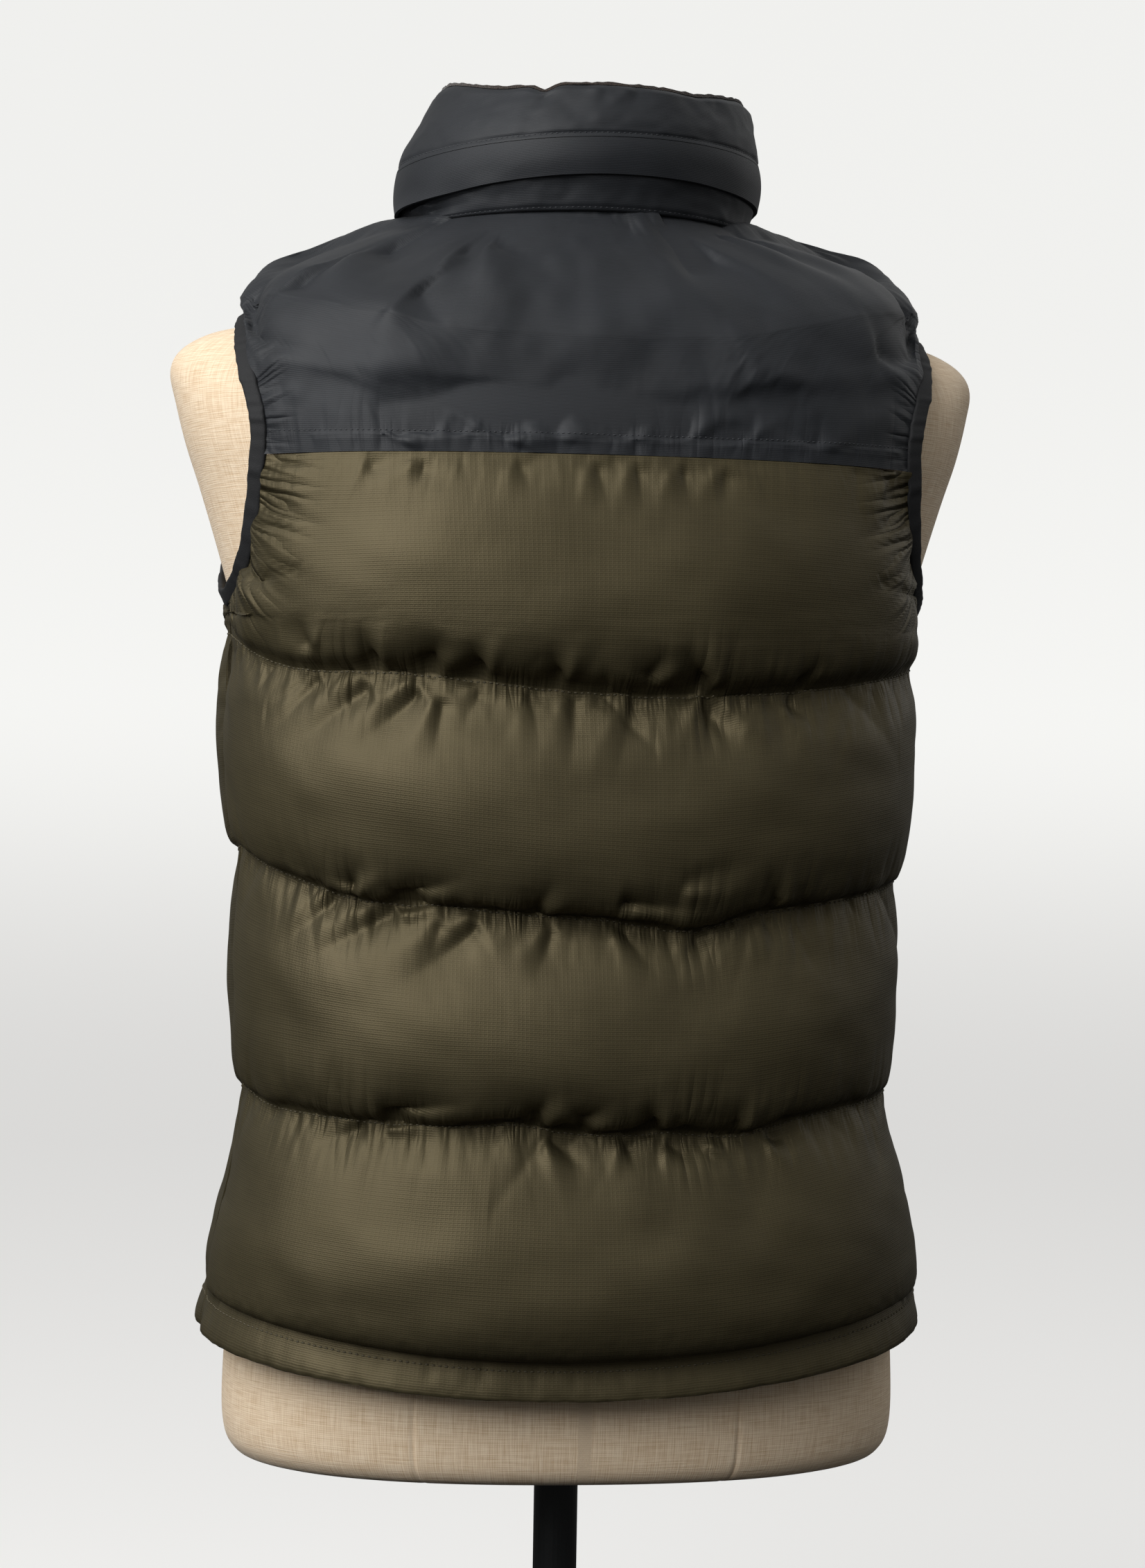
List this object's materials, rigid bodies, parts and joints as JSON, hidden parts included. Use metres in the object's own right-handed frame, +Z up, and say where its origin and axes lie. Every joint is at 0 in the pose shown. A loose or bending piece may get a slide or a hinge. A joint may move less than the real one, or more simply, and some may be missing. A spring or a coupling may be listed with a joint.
{
  "type": "quilted down vest on a limbless dress form with stand",
  "caption": "Sleeveless quilted down vest with a padded stand collar, closed by a front zip, worn by a linen-covered dress form that stands on a pole and round base.",
  "frame": {"origin": "middle of the base plate's flat underside, on the floor", "axes": "+Z up along the pole, -Y out of the vest's front, +X towards the wearer's left"},
  "size_m": [0.457, 0.3216, 1.0569],
  "materials": {
    "olive_ripstop": "satin",
    "charcoal_nylon": "matte",
    "pile_lining": "matte",
    "binding_tape": "matte",
    "zip_tape": "matte",
    "zip_metal": "satin",
    "linen": "matte",
    "black_steel": "satin"
  },
  "bodies": {
    "vest_on_form": {"back_body": "olive_ripstop", "front_body_left": "olive_ripstop", "front_body_right": "olive_ripstop", "back_yoke": "charcoal_nylon", "front_yoke_left": "charcoal_nylon", "front_yoke_right": "charcoal_nylon", "collar_lower_band": "charcoal_nylon", "collar_flap": "charcoal_nylon", "collar_upper_panel": "charcoal_nylon", "collar_lining": "pile_lining", "armhole_binding_left": "binding_tape", "armhole_binding_right": "binding_tape", "zip_tape_left": "zip_tape", "zip_tape_right": "zip_tape", "zip_chain": "zip_tape", "zip_slider": "zip_metal", "form_torso": "linen", "stand_pole": "black_steel", "stand_catch": "black_steel", "stand_base": "black_steel"},
    "pull_tab": {"zip_pull": "zip_metal"}
  },
  "joints": [
    {"name": "pull_hinge", "type": "hinge", "parent": "vest_on_form", "child": "pull_tab", "pos_m": [0, -0.11, 1.02093], "axis": [-1, 0, 0], "range_deg": [0, 170]}
  ]
}
